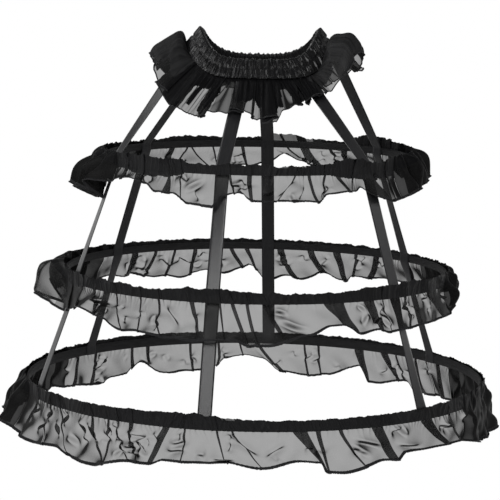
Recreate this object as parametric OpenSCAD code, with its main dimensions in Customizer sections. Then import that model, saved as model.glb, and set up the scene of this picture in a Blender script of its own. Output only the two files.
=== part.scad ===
// Crinoline cage: an elastic waistband with a gathered frill, three boned hoops in
// cloth casings, a sheer ruffle on each casing, and six tapes that hang the hoops
// from the waist. Millimetres, +Z up, front towards -Y. The origin is the middle of
// the waist opening, at the middle of the waistband's height at the front.

/* [Waist] */
// Radius of the waistband's top edge
waist_top_r = 76; // [60:1:110]
// Radius of the waistband's lower edge
waist_bottom_r = 95; // [70:1:130]
// Height of the waistband
waistband_h = 24; // [22:1:45]
// How far the waistband rises at the sides
waist_side_lift = 38; // [0:1:60]
// How closely the rise keeps to the sides at the front half (more is closer)
waist_front_curve = 5.5; // [2:0.5:6]
// How closely the rise keeps to the sides at the back half
waist_back_curve = 3.5; // [2:0.5:6]
// Number of gathers round the waistband
waist_gathers = 48; // [24:1:60]
// Depth of a waistband gather
waist_gather_depth = 1.6; // [0.4:0.1:3]
// Width of the elastic
elastic_w = 22; // [12:1:25]
// Thickness of the elastic
elastic_t = 1.4; // [0.8:0.1:2]
// Height of the seam that holds the frill and the tapes
waist_seam = 5; // [3:0.5:7]

/* [Waist frill] */
// Length of the frill below the waistband
frill_l = 66; // [30:1:80]
// Lean of the frill beyond the tapes under it at the front and back, in degrees
frill_tape_margin = 2; // [1:0.5:15]
// Lean of the frill at the sides, in degrees
frill_side_flare = 76; // [60:1:110]
// Depth of a frill fold at the hem
frill_fold_depth = 13; // [4:1:20]
// Number of frill folds
frill_folds = 19; // [10:1:24]

/* [Upper tier] */
// Radius of the upper hoop
upper_hoop_r = 200; // [160:1:230]
// Drop from the waist line to the upper hoop
upper_hoop_drop = 118; // [100:1:135]
// Width of the upper hoop's boning
upper_boning_w = 4.5; // [4:0.5:12]
// Length of the upper ruffle below its casing
upper_ruffle_l = 39; // [25:1:70]
// Lean of the upper ruffle on the left side, in degrees
upper_left_flare = 70; // [30:1:90]
// Lean of the upper ruffle on the right side, in degrees
upper_right_flare = 48; // [30:1:90]
// Number of upper ruffle folds
upper_ruffle_folds = 22; // [12:1:30]

/* [Middle tier] */
// Radius of the middle hoop
middle_hoop_r = 252; // [235:1:280]
// Drop from the waist line to the middle hoop
middle_hoop_drop = 270; // [240:1:300]
// Width of the middle hoop's boning
middle_boning_w = 5; // [4:0.5:12]
// Length of the middle ruffle below its casing
middle_ruffle_l = 47; // [25:1:70]
// Lean of the middle ruffle on the left side, in degrees
middle_left_flare = 66; // [30:1:90]
// Lean of the middle ruffle on the right side, in degrees
middle_right_flare = 26; // [24:1:90]
// Number of middle ruffle folds
middle_ruffle_folds = 25; // [12:1:32]

/* [Lower tier] */
// Radius of the lower hoop
lower_hoop_r = 302; // [285:1:330]
// Drop from the waist line to the lower hoop
lower_hoop_drop = 416; // [390:1:450]
// Width of the lower hoop's boning
lower_boning_w = 7.5; // [4:0.5:14]
// Length of the lower ruffle below its casing
lower_ruffle_l = 49; // [25:1:80]
// Lean of the lower ruffle on the left side, in degrees
lower_left_flare = 34; // [6:1:90]
// Lean of the lower ruffle on the right side, in degrees
lower_right_flare = 14; // [6:1:90]
// Number of lower ruffle folds
lower_ruffle_folds = 29; // [14:1:36]

/* [Ruffles] */
// Least lean of the upper and middle ruffles beyond the tapes under them, in degrees
ruffle_tape_margin = 4; // [2:0.5:15]
// Least lean of the lower ruffle, in degrees
hem_ruffle_flare = 7; // [0:1:30]
// Depth of a ruffle fold at the hem
ruffle_fold_depth = 9; // [3:1:16]
// Height of the gathered heading above each casing
ruffle_heading = 3; // [1:0.5:8]

/* [Tapes] */
// Width of the tapes
tape_w = 18; // [8:1:22]
// Thickness of the tapes
tape_t = 0.8; // [0.4:0.1:1.2]
// Turn of the left tape from the front, in degrees
left_tape_turn = -68; // [-80:1:-50]
// Turn of the front tape
front_tape_turn = -12; // [-30:1:10]
// Turn of the front right tape
front_right_tape_turn = 44; // [25:1:60]
// Turn of the back right tape
back_right_tape_turn = 124; // [105:1:140]
// Turn of the back tape
back_tape_turn = 176; // [160:1:190]
// Turn of the back left tape
back_left_tape_turn = 231; // [215:1:245]
// Further turn of the left tape where it meets the waist
left_tape_waist_turn = -9; // [-15:1:10]
// Further turn of the front right tape where it meets the waist
front_right_tape_waist_turn = -6; // [-15:1:10]
// Further turn of the back right tape where it meets the waist
back_right_tape_waist_turn = -26; // [-30:1:10]

/* [Boning and cloth] */
// Thickness of the boning
boning_t = 1.2; // [0.6:0.1:2]
// Gap between the two ends of a boning strip
boning_end_gap = 1.5; // [0.5:0.5:5]
// Length of the sleeve that joins the ends
joiner_l = 32; // [20:1:50]
// Wall of the joining sleeve
joiner_wall = 0.4; // [0.3:0.1:1]
// Turn of the joining sleeves from the front, in degrees
joiner_turn = 204; // [195:1:212]
// Thickness of the casing tape
casing_t = 0.8; // [0.5:0.1:1.2]
// Height of the stitched seam under each boning
casing_seam = 1.2; // [1:0.1:4]
// Thickness of the satin
satin_t = 0.7; // [0.4:0.1:1.2]
// Thickness of the sheer cloth
sheer_t = 0.6; // [0.4:0.1:1]
// Room left between pieces that lie against each other
play = 0.3; // [0.2:0.05:0.5]

/* [Hidden] */
TIERS = ["upper", "middle", "lower"];
TAPES = ["left_tape", "front_tape", "front_right_tape",
         "back_right_tape", "back_tape", "back_left_tape"];

// One entry for each tier, from the top down
hoop_r = [upper_hoop_r, middle_hoop_r, lower_hoop_r];
hoop_z = [-upper_hoop_drop, -middle_hoop_drop, -lower_hoop_drop];
boning_w = [upper_boning_w, middle_boning_w, lower_boning_w];
ruffle_l = [upper_ruffle_l, middle_ruffle_l, lower_ruffle_l];
ruffle_folds = [upper_ruffle_folds, middle_ruffle_folds, lower_ruffle_folds];
left_flare = [upper_left_flare, middle_left_flare, lower_left_flare];
right_flare = [upper_right_flare, middle_right_flare, lower_right_flare];
tape_turn = [left_tape_turn, front_tape_turn, front_right_tape_turn,
             back_right_tape_turn, back_tape_turn, back_left_tape_turn];
tape_waist_turn = [left_tape_waist_turn, 0, front_right_tape_waist_turn,
                   back_right_tape_waist_turn, 0, 0];

// Joining sleeve and casing, measured from the boning's middle
joiner_grip = 0.1;
joiner_half_t = boning_t / 2 + joiner_grip + joiner_wall;
function joiner_half_w(tier) = boning_w[tier] / 2 + joiner_grip + joiner_wall;
cavity_half_t = joiner_half_t + play;
function cavity_half_w(tier) = joiner_half_w(tier) + play;
casing_half_t = cavity_half_t + casing_t;
casing_slit = 0.2;
function casing_top(tier) = hoop_z[tier] + cavity_half_w(tier) + casing_t;
function casing_bottom(tier) =
    hoop_z[tier] - cavity_half_w(tier) - cavity_half_t - casing_seam;

// Lean of the tapes, from upright, where they run down to each hoop
function tape_lean(tier) = tier == 0
    ? atan2(hoop_r[0] - waist_bottom_r, -waistband_h / 2 - casing_top(0))
    : atan2(hoop_r[tier] - hoop_r[tier - 1], casing_bottom(tier - 1) - casing_top(tier));
frill_lean = tape_lean(0) + frill_tape_margin;
least_flare = [tape_lean(1) + ruffle_tape_margin, tape_lean(2) + ruffle_tape_margin, hem_ruffle_flare];

// The waistband's wall leans inwards from its lower edge. A point on it is given by
// its turn, its height up the slant and its distance outwards from the wall's middle.
// The tapes are flat, so they need room for their bow against the curved wall.
waist_slant = norm([waist_bottom_r - waist_top_r, waistband_h]);
slant_up = [waist_top_r - waist_bottom_r, waistband_h] / waist_slant;
slant_out = [slant_up[1], -slant_up[0]];
waist_curve = (waist_front_curve + waist_back_curve) / 2;
waist_curve_change = (waist_front_curve - waist_back_curve) / 2;
tape_bow = pow(tape_w / 2 / waist_bottom_r, 2)
    * (waist_bottom_r + waist_side_lift * waist_curve) / 2;
waist_cavity = max(tape_t + sheer_t + tape_bow + 3 * play, elastic_t + 2 * play);
tape_layer = play + tape_bow + tape_t / 2 - waist_cavity / 2;
frill_layer = waist_cavity / 2 - play - sheer_t / 2;
function waist_edge_z(turn) = -waistband_h / 2
    + waist_side_lift * pow(abs(sin(turn)), waist_curve + waist_curve_change * cos(turn));
function band_profile(turn, up, out) =
    [waist_bottom_r, waist_edge_z(turn)] + up * slant_up + out * slant_out;

// Columns round each gathered ring
waistband_columns = 3 * waist_gathers;
elastic_columns = 72;
frill_columns = 5 * frill_folds;
ruffle_columns = [for (n = ruffle_folds) round(5.5 * n)];

// A point at a turn from the front, given its radius and height
function at_turn(turn, p) = [p[0] * sin(turn), -p[0] * cos(turn), p[1]];
function ring_turns(n) = [for (i = [0 : n - 1]) 360 * i / n];

// Depth of a fold, from 0 to 1, for a ring of n folds
function fold(turn, n) =
    0.5 + 0.32 * sin(n * turn) + 0.18 * sin((2 * n - 3) * turn + 50);

// Lean of a hanging cloth: the least at the front and back, more at each side
function lean(turn, least, left, right) =
    least + max((sin(turn) < 0 ? left : right) - least, 0) * pow(abs(sin(turn)), 6);

// Points along a cloth that hangs from p at a lean, with folds that deepen downwards
function hanging(p, steps, length, angle, depth) =
    [for (k = steps)
        p + k * length * [sin(angle), -cos(angle)] + k * depth * [cos(angle), sin(angle)]];

// Outward directions at the corners of a line of (radius, height) points, mitred
function unit(v) = v / norm(v);
function side_of(a, b) = let (d = unit(b - a)) [-d[1], d[0]];
function miter(line, i) =
    let (before = side_of(line[max(i - 1, 0)], line[max(i, 1)]),
         after = side_of(line[min(i, len(line) - 2)], line[min(i + 1, len(line) - 1)]),
         middle = unit(before + after))
    middle / (middle * after);

// The closed outline of a cloth of thickness t along a line, outer side first
function thickened(line, t) = concat(
    [for (i = [0 : len(line) - 1]) line[i] + miter(line, i) * t / 2],
    [for (i = [len(line) - 1 : -1 : 0]) line[i] - miter(line, i) * t / 2]
);

// A solid through closed outlines with equal numbers of points. The second half of an
// outline is the first half's other side, so its faces are split along the same lines.
module sweep(outlines, ring) {
    n = len(outlines);
    m = len(outlines[0]);
    last = ring ? n - 1 : n - 2;
    walls = [for (i = [0 : last], j = [0 : m - 1])
        let (a = i * m + j, b = i * m + (j + 1) % m,
             c = ((i + 1) % n) * m + (j + 1) % m, d = ((i + 1) % n) * m + j)
        each (j < m / 2 ? [[a, c, b], [a, d, c]] : [[a, d, b], [b, d, c]])];
    caps = ring ? [] : [
        [for (j = [0 : m - 1]) j],
        [for (j = [m - 1 : -1 : 0]) (n - 1) * m + j]
    ];
    polyhedron([for (o = outlines) each o], concat(walls, caps));
}

// Waistband: satin folded over the elastic, gathered, open along the lower seam
function waistband_outline(turn) =
    let (inner = waist_cavity / 2,
         outer = inner + satin_t + waist_gather_depth * (1 + cos(waist_gathers * turn)) / 2,
         top = waist_slant, under = waist_slant - satin_t)
    [for (p = [[0, inner], [under, inner], [under, -inner], [0, -inner], [0, -outer],
               [top - satin_t, -outer], [top, -inner], [top, inner], [top - satin_t, outer],
               [0, outer]])
        at_turn(turn, band_profile(turn, p[0], p[1]))];

module waistband() {
    color([0.10, 0.10, 0.11])
        sweep([for (a = ring_turns(waistband_columns)) waistband_outline(a)], true);
}

// Elastic: a flat band inside the waistband, above the seam
module waist_elastic() {
    top = waist_slant - satin_t - play;
    half = elastic_t / 2;
    color([0.16, 0.16, 0.17])
        sweep([for (a = ring_turns(elastic_columns))
            [for (p = [[top - elastic_w, -half], [top, -half], [top, half], [top - elastic_w, half]])
                at_turn(a, band_profile(a, p[0], p[1]))]], true);
}

// Waist frill: sheer cloth caught in the waistband's seam
function frill_line(turn) =
    let (below = -play - sheer_t,
         foot = band_profile(turn, below, frill_layer),
         angle = lean(turn, frill_lean, frill_side_flare, frill_side_flare))
    concat([band_profile(turn, waist_seam - play, frill_layer), foot],
           hanging(foot, [0.5, 1], frill_l, angle, frill_fold_depth * fold(turn, frill_folds)));

module waist_frill() {
    color([0.20, 0.20, 0.21, 0.7])
        sweep([for (a = ring_turns(frill_columns))
            [for (p = thickened(frill_line(a), sheer_t)) at_turn(a, p)]], true);
}

// Boning: a flat strip with eased edges, bent to a hoop whose ends almost meet
module hoop(tier) {
    r = hoop_r[tier];
    half_w = boning_w[tier] / 2;
    half_t = boning_t / 2;
    ease = boning_t / 4;
    gap = boning_end_gap / r * 180 / PI;
    color([0.14, 0.14, 0.15])
        rotate(joiner_turn - 90 + gap / 2)
            rotate_extrude(angle = 360 - gap, $fn = 180)
                translate([r, hoop_z[tier]])
                    polygon([[-half_t, ease - half_w], [ease - half_t, -half_w],
                             [half_t - ease, -half_w], [half_t, ease - half_w],
                             [half_t, half_w - ease], [half_t - ease, half_w],
                             [ease - half_t, half_w], [-half_t, half_w - ease]]);
}

// Joining sleeve: a short flat tube pressed over the two ends of the boning
module hoop_joiner(tier) {
    r = hoop_r[tier];
    arc = joiner_l / r * 180 / PI;
    color([0.62, 0.63, 0.65])
        rotate(joiner_turn - 90 - arc / 2)
            rotate_extrude(angle = arc, $fn = 180)
                translate([r, hoop_z[tier]])
                    difference() {
                        square([2 * joiner_half_t, 2 * joiner_half_w(tier)], center = true);
                        square([boning_t + 2 * joiner_grip, boning_w[tier] + 2 * joiner_grip],
                               center = true);
                    }
}

// Casing: tape folded over the boning, its two edges stitched together underneath
module casing(tier) {
    half_w = cavity_half_w(tier);
    foot = casing_bottom(tier) - hoop_z[tier];
    slit = casing_slit / 2;
    lip = slit + casing_t;
    half = [[slit, foot], [lip, foot], [lip, foot + casing_seam], [casing_half_t, -half_w],
            [casing_half_t, half_w], [cavity_half_t, half_w + casing_t]];
    inside = [[cavity_half_t, half_w], [cavity_half_t, -half_w], [slit, foot + casing_seam]];
    flip = function (p) [-p[0], p[1]];
    back = function (list) [for (i = [len(list) - 1 : -1 : 0]) flip(list[i])];
    color([0.12, 0.12, 0.13])
        rotate_extrude($fn = 180)
            translate([hoop_r[tier], hoop_z[tier]])
                polygon(concat(half, back(half), back(inside), inside));
}

// Ruffle: sheer cloth sewn to the outside of its casing, heading up, hem down
function ruffle_line(turn, tier) =
    let (r = hoop_r[tier] + casing_half_t + play + sheer_t / 2,
         gather = fold(turn, ruffle_folds[tier]),
         foot = [r, casing_bottom(tier)],
         angle = lean(turn, least_flare[tier], left_flare[tier], right_flare[tier]))
    concat([[r + gather, casing_top(tier) + ruffle_heading], foot],
           hanging(foot, [0.5, 1], ruffle_l[tier], angle, ruffle_fold_depth * gather));

module ruffle(tier) {
    color([0.24, 0.24, 0.25, 0.6])
        sweep([for (a = ring_turns(ruffle_columns[tier]))
            [for (p = thickened(ruffle_line(a, tier), sheer_t)) at_turn(a, p)]], true);
}

// Tape: caught in the waist seam, then sewn to the inside of each casing in turn. Each
// edge is a line of (radius, height) points, with the turn of each point beside it.
tape_stations = 2 + 2 * len(TIERS);
function tape_turns(i, side) =
    [for (k = [0 : tape_stations - 1])
        let (waist = k < 2, r = waist ? waist_bottom_r : hoop_r[floor(k / 2) - 1])
        tape_turn[i] + (waist ? tape_waist_turn[i] : 0) + side * asin(tape_w / 2 / r)];
function tape_line(turns) = concat(
    [band_profile(turns[0], waist_seam - play, tape_layer),
     band_profile(turns[1], -play, tape_layer)],
    [for (tier = [0 : len(TIERS) - 1], z = [casing_top(tier), casing_bottom(tier)])
        [hoop_r[tier] - casing_half_t - play - tape_t / 2, z]]
);

module tape(i) {
    left_turns = tape_turns(i, -1);
    right_turns = tape_turns(i, 1);
    left = thickened(tape_line(left_turns), tape_t);
    right = thickened(tape_line(right_turns), tape_t);
    color([0.15, 0.15, 0.16])
        sweep([for (k = [0 : tape_stations - 1])
            let (inner = 2 * tape_stations - 1 - k)
            [at_turn(left_turns[k], left[inner]), at_turn(right_turns[k], right[inner]),
             at_turn(right_turns[k], right[k]), at_turn(left_turns[k], left[k])]], false);
}

waistband();
waist_elastic();
waist_frill();
for (t = [0 : 2]) hoop(t);
for (t = [0 : 2]) hoop_joiner(t);
for (t = [0 : 2]) casing(t);
for (t = [0 : 2]) ruffle(t);
for (i = [0 : 5]) tape(i);
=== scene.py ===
"""Looks of the crinoline cage: pleated organza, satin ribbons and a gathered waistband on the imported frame.

Lengths in this script are millimetres and angles are degrees until points are made.
A turn is measured from the front of the cage, and grows towards its right-hand side.
"""
import math
from dataclasses import dataclass

import bpy
import numpy as np
from mathutils import Matrix, Vector


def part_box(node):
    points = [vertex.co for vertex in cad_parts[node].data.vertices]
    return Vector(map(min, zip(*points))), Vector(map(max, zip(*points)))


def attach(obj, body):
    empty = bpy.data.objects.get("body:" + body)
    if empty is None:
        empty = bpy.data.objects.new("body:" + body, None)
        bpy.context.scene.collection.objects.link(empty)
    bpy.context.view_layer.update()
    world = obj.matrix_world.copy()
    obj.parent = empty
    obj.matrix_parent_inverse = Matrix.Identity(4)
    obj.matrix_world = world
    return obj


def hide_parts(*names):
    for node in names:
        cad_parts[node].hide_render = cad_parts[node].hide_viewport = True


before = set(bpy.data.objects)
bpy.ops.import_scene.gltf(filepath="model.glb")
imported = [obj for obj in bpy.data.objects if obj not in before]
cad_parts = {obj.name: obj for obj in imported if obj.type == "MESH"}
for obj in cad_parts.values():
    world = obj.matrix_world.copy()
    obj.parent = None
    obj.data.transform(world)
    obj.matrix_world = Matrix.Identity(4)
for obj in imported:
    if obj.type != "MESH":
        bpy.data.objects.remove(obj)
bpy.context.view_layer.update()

MM = 0.001
CLOTH_UV = "cloth"

# View of the photograph
CAMERA_AT = (-8.6, -2899.3, 150.5)
CAMERA_PITCH = 7.74
CAMERA_ROLL = 0.9
CAMERA_LENS = 158.4
CAMERA_SENSOR = 36.0

# Floor, as far below the waist as it is from a standing wearer's waist
FLOOR_Z = -1050.0
FLOOR_R = 60000.0
BACKDROP_Z = 13000.0

# Organza: light that passes straight through one layer
SHEER_PASS = 0.355
PRESSED_PASS = 0.20
FLAP_PASS = 0.52        # where two layers show as one
DOUBLE_PASS = 0.12      # where one shows as two
BUNCHED_PASS = 0.045    # in the deep folds at the sides
LEAST_SLANT = 0.05      # cosine of the steepest slant that counts
EVEN_SHARE = 0.89       # share of the threads' cover that is the same all over
SLUB_SHARE = 0.10       # and shares that vary with the slubs and from place to place
CLOUD_SHARE = 0.12

# Other looks
TINT_RANGE = (0.3, 0.75)    # where a noise gives a material's darker and its lighter grey
STREAK_ROUGH = 0.12         # how far the roughness of satin varies

# Waistband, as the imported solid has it
BAND_TOP_R = 76.0
BAND_SEAM_R = 95.0
BAND_H = 24.0
BAND_SIDE_LIFT = 38.0
BAND_FRONT_CURVE = 5.5
BAND_BACK_CURVE = 3.5
BAND_SLANT = math.hypot(BAND_SEAM_R - BAND_TOP_R, BAND_H)
BAND_UP = np.array([BAND_TOP_R - BAND_SEAM_R, BAND_H]) / BAND_SLANT
BAND_OUT = np.array([BAND_UP[1], -BAND_UP[0]])
BAND_GATHERS = 132
BAND_COLUMNS = 9 * BAND_GATHERS
BAND_SEEDS = (50, 70)  # for the gathers below and above its stitches
BAND_HALF_T = 2.2
BAND_ROUND = 1.6       # height of the rounded fold at its top


# Points, ripples and meshes

RIPPLE_SINES = 6
DENT_SINES = 8


def polar(turn, r, z):
    """Points in metres at a turn, a radius and a height."""
    a = np.radians(turn)
    return np.stack(np.broadcast_arrays(r * np.sin(a), -r * np.cos(a), z), axis=-1) * MM


def smooth(x):
    """Smooth step from 0 to 1."""
    x = np.clip(x, 0.0, 1.0)
    return x * x * (3 - 2 * x)


def ripple(turn, waves, seed):
    """A seeded ripple round a ring, mostly within -1 to 1, with about the given waves in a turn."""
    rng = np.random.default_rng(seed)
    total = 0.0
    for _ in range(RIPPLE_SINES):
        count = max(1, round(waves * rng.uniform(0.55, 1.5)))
        total = total + np.sin(np.radians(turn * count) + rng.uniform(0, 2 * math.pi))
    return total / math.sqrt(RIPPLE_SINES) * 0.8


def round_ring(turn, values):
    """Values given at a few turns, read off at any turn of a ring."""
    at, value = np.array(sorted((t % 360, v) for t, v in values.items())).T
    at, value = np.append(at, at[0] + 360), np.append(value, value[0])
    turn = np.mod(turn - at[0], 360) + at[0]
    i = np.clip(np.searchsorted(at, turn, side="right") - 1, 0, len(at) - 2)
    return value[i] + (value[i + 1] - value[i]) * smooth((turn - at[i]) / (at[i + 1] - at[i]))


def turn_from(start, turn):
    """The way from one turn to another, from -180 to 180."""
    return (turn - start + 180) % 360 - 180


def by_side(turn, left, right):
    """One value on the left half of the cage and another on the right."""
    return np.where(np.sin(np.radians(turn)) < 0, left, right)


def unit_length(vectors):
    """A row of vectors, each brought to length 1."""
    return vectors / np.maximum(np.linalg.norm(vectors, axis=1, keepdims=True), 1e-9)


def within(turn, ranges):
    """Whether a turn lies in one of some ranges, each from its first value to its last."""
    return np.any([np.mod(turn - each[0], 360) < each[-1] - each[0] for each in ranges], axis=0)


def new_object(name, data):
    """An object in the scene."""
    thing = bpy.data.objects.new(name, data)
    bpy.context.scene.collection.objects.link(thing)
    return thing


def mesh_piece(name, node, points, materials, which=0, uv=None):
    """A mesh from a grid of points (rows, columns) whose last column joins the first, in place of a CAD node.

    which is the place in the list of materials of each face's own.
    """
    uv = cloth_uv(points) if uv is None else uv
    row_steps, columns = len(points) - 1, points.shape[1]
    i, j = np.meshgrid(np.arange(row_steps), np.arange(columns), indexing="ij")
    below, beside = i + 1, (j + 1) % columns
    corners = np.stack([i * columns + j, below * columns + j,
                        below * columns + beside, i * columns + beside], axis=-1).reshape(-1, 4)
    mesh = bpy.data.meshes.new(name)
    mesh.from_pydata(points.reshape(-1, 3).tolist(), [], corners.tolist())
    layer = mesh.uv_layers.new(name=CLOTH_UV)
    layer.data.foreach_set("uv", uv.reshape(-1, 2)[corners.ravel()].astype(np.float32).ravel())
    mesh.polygons.foreach_set("use_smooth", np.ones(len(corners), dtype=bool))
    for material in materials:
        mesh.materials.append(material)
    each = np.broadcast_to(which, (row_steps, columns))
    mesh.polygons.foreach_set("material_index", each.ravel().astype(np.int32))
    mesh.validate()
    piece = new_object(name, mesh)
    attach(piece, "root")
    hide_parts(node)
    return piece


# Materials

def new_material(name):
    """A node material, with its node tree and shader."""
    material = bpy.data.materials.new(name)
    material.use_nodes = True
    tree = material.node_tree
    return material, tree, tree.nodes["Principled BSDF"]


def add(tree, kind, inputs=None, **values):
    """A node with some of its properties and inputs set."""
    node = tree.nodes.new(kind)
    for key, value in values.items():
        setattr(node, key, value)
    put(node, inputs or {})
    return node


def put(node, inputs):
    """Sets some of a node's inputs."""
    for key, value in inputs.items():
        node.inputs[key].default_value = value


def calc(tree, operation, a, b):
    """A Math node on sockets or numbers."""
    node = add(tree, "ShaderNodeMath", operation=operation)
    for socket, value in zip(node.inputs, (a, b)):
        if isinstance(value, bpy.types.NodeSocket):
            tree.links.new(value, socket)
        else:
            socket.default_value = value
    return node.outputs[0]


def cloth_noise(tree, scale, detail=3.0):
    """Noise in the cloth's own coordinates, stretched by a scale along and across."""
    where = add(tree, "ShaderNodeUVMap", uv_map=CLOTH_UV)
    stretch = add(tree, "ShaderNodeMapping", {"Scale": (*scale, 1)})
    tree.links.new(where.outputs["UV"], stretch.inputs["Vector"])
    noise = add(tree, "ShaderNodeTexNoise", {"Scale": 1.0, "Detail": detail})
    tree.links.new(stretch.outputs["Vector"], noise.inputs["Vector"])
    return noise.outputs["Fac"]


def cloth_wave(tree, direction, scale):
    """Fine threads in the cloth's own coordinates."""
    where = add(tree, "ShaderNodeUVMap", uv_map=CLOTH_UV)
    wave = add(tree, "ShaderNodeTexWave", {"Scale": scale, "Distortion": 0.6}, bands_direction=direction)
    tree.links.new(where.outputs["UV"], wave.inputs["Vector"])
    return wave.outputs["Fac"]


def tint(tree, shader, factor, dark, light):
    """Gives a shader a colour between two greys."""
    ramp = add(tree, "ShaderNodeValToRGB")
    for element, grey, position in zip(ramp.color_ramp.elements, (dark, light), TINT_RANGE):
        element.color = (*grey, 1)
        element.position = position
    tree.links.new(factor, ramp.inputs["Fac"])
    tree.links.new(ramp.outputs["Color"], shader.inputs["Base Color"])


def bump(tree, shader, height, distance):
    """Bump of a real depth on a shader."""
    node = add(tree, "ShaderNodeBump", {"Distance": distance * MM, "Strength": 1.0})
    tree.links.new(height, node.inputs["Height"])
    tree.links.new(node.outputs["Normal"], shader.inputs["Normal"])


def organza_material(name, passed, light=0.009, level=0.12):
    """Black organza: sheer, with slubs along the weft. Its threads close up where it is seen at a slant."""
    material, tree, shader = new_material(name)
    slub = cloth_noise(tree, (45, 1400))
    cloud = cloth_noise(tree, (60, 60), detail=2.0)
    tint(tree, shader, slub, [0.45 * light] * 3, [light] * 3)
    put(shader, {"Roughness": 0.5, "Specular IOR Level": level})
    facing = add(tree, "ShaderNodeLayerWeight", {"Blend": 0.5})
    slant = calc(tree, "MAXIMUM", calc(tree, "SUBTRACT", 1.0, facing.outputs["Facing"]), LEAST_SLANT)
    uneven = calc(tree, "ADD", calc(tree, "MULTIPLY", slub, SLUB_SHARE),
                  calc(tree, "MULTIPLY", cloud, CLOUD_SHARE))
    # Threads across the slant cover this share of the way, those along it keep their share
    thread = 1 - math.sqrt(passed)
    threads = calc(tree, "MULTIPLY", calc(tree, "ADD", uneven, EVEN_SHARE), thread)
    open_way = calc(tree, "MAXIMUM", calc(tree, "SUBTRACT", 1.0, calc(tree, "DIVIDE", threads, slant)), 0.0)
    through = calc(tree, "MULTIPLY", open_way, math.sqrt(passed))
    tree.links.new(calc(tree, "SUBTRACT", 1.0, through), shader.inputs["Alpha"])
    return material


def gathered_material(name, dark, light, scale, depth, level):
    """Organza gathered so closely that no light passes, with fine lines down the gathers."""
    material, tree, shader = new_material(name)
    lines = cloth_noise(tree, scale)
    tint(tree, shader, lines, dark, light)
    bump(tree, shader, lines, depth)
    put(shader, {"Roughness": 0.5, "Specular IOR Level": level})
    return material


def hem_material():
    """Overlocked thread along a hem."""
    material, tree, shader = new_material("hem_thread")
    thread = cloth_wave(tree, "DIAGONAL", 700)
    tint(tree, shader, thread, dark=(0.006, 0.006, 0.007), light=(0.016, 0.016, 0.017))
    bump(tree, shader, thread, 0.15)
    put(shader, {"Roughness": 0.7, "Specular IOR Level": 0.2})
    return material


def satin_material(name, dark, light, roughness, level, depth):
    """Black satin: a shiny face with fine crosswise threads."""
    material, tree, shader = new_material(name)
    threads = cloth_wave(tree, "Y", 900)
    streak = cloth_noise(tree, (500, 40))
    tint(tree, shader, streak, dark, light)
    bump(tree, shader, calc(tree, "ADD", calc(tree, "MULTIPLY", threads, 0.5), streak), depth)
    rough = calc(tree, "ADD", calc(tree, "MULTIPLY", streak, STREAK_ROUGH), roughness - STREAK_ROUGH / 2)
    tree.links.new(rough, shader.inputs["Roughness"])
    put(shader, {"Specular IOR Level": level, "Sheen Weight": 0.05, "Sheen Roughness": 0.4})
    return material


def casing_material():
    """Black twill tape."""
    material, tree, shader = new_material("black_twill")
    twill = cloth_wave(tree, "DIAGONAL", 420)
    fade = cloth_noise(tree, (80, 300))
    tint(tree, shader, fade, dark=(0.005, 0.005, 0.0055), light=(0.011, 0.011, 0.0115))
    bump(tree, shader, twill, 0.15)
    put(shader, {"Roughness": 0.75, "Specular IOR Level": 0.2})
    return material


def inner_material(name, dark, light, roughness, metallic, scale):
    """Material of a piece that lies inside the casings or the waistband."""
    material, tree, shader = new_material(name)
    noise = add(tree, "ShaderNodeTexNoise", {"Scale": scale, "Detail": 4.0})
    where = add(tree, "ShaderNodeTexCoord")
    tree.links.new(where.outputs["Object"], noise.inputs["Vector"])
    tint(tree, shader, noise.outputs["Fac"], dark, light)
    bump(tree, shader, noise.outputs["Fac"], 0.1)
    put(shader, {"Roughness": roughness, "Metallic": metallic})
    return material


ORGANZA = organza_material("black_organza", SHEER_PASS)
PRESSED = organza_material("pressed_organza", PRESSED_PASS)
FLAP = organza_material("flap_organza", FLAP_PASS)
DOUBLE = organza_material("double_organza", DOUBLE_PASS)
HEM = hem_material()
BUNCHED = organza_material("bunched_organza", BUNCHED_PASS, light=0.006, level=0.05)
TWILL = casing_material()
# Name, darker and lighter colour, scale of the lines along and across, their depth, specular level
GATHERED, SHADED_GATHERS, PUFFED = [gathered_material(*each) for each in (
    ("gathered_organza", (0.004, 0.004, 0.0045), (0.011, 0.011, 0.0115), (900, 60), 0.35, 0.10),
    # The frilled organza is a darker copy of the gathered organza: its darker colours are painted shade of
    # deep, many-layered gathers. Their closing off of light is real.
    ("shaded_gathers_organza", (0.001, 0.001, 0.0012), (0.005, 0.005, 0.0055), (420, 25), 0.8, 0.05),
    ("puffed_organza", (0.003, 0.003, 0.0033), (0.016, 0.016, 0.0165), (330, 18), 1.3, 0.10))]
# Name, darker and lighter colour, roughness, specular level, depth of the threads
RIBBON, RIBBON_BACK, SATIN, SATIN_BACK = [satin_material(*each) for each in (
    ("ribbon_satin", (0.005, 0.005, 0.006), (0.010, 0.010, 0.011), 0.31, 0.32, 0.02),
    ("ribbon_back", (0.007, 0.007, 0.008), (0.013, 0.013, 0.014), 0.55, 0.15, 0.04),
    ("waist_satin", (0.002, 0.002, 0.0022), (0.005, 0.005, 0.0055), 0.19, 0.17, 0.03),
    ("satin_back", (0.003, 0.003, 0.0033), (0.006, 0.006, 0.0065), 0.6, 0.08, 0.05))]
# Name, darker and lighter colour, roughness, metallic share, scale of the grain
BONING, JOINER, ELASTIC = [inner_material(*each) for each in (
    ("boning_nylon", (0.010, 0.010, 0.011), (0.020, 0.020, 0.021), 0.45, 0.0, 300),
    ("joiner_steel", (0.45, 0.45, 0.47), (0.60, 0.60, 0.62), 0.35, 1.0, 500),
    ("knitted_elastic", (0.010, 0.010, 0.011), (0.030, 0.030, 0.032), 0.85, 0.0, 900))]


# Pleated cloth

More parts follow.
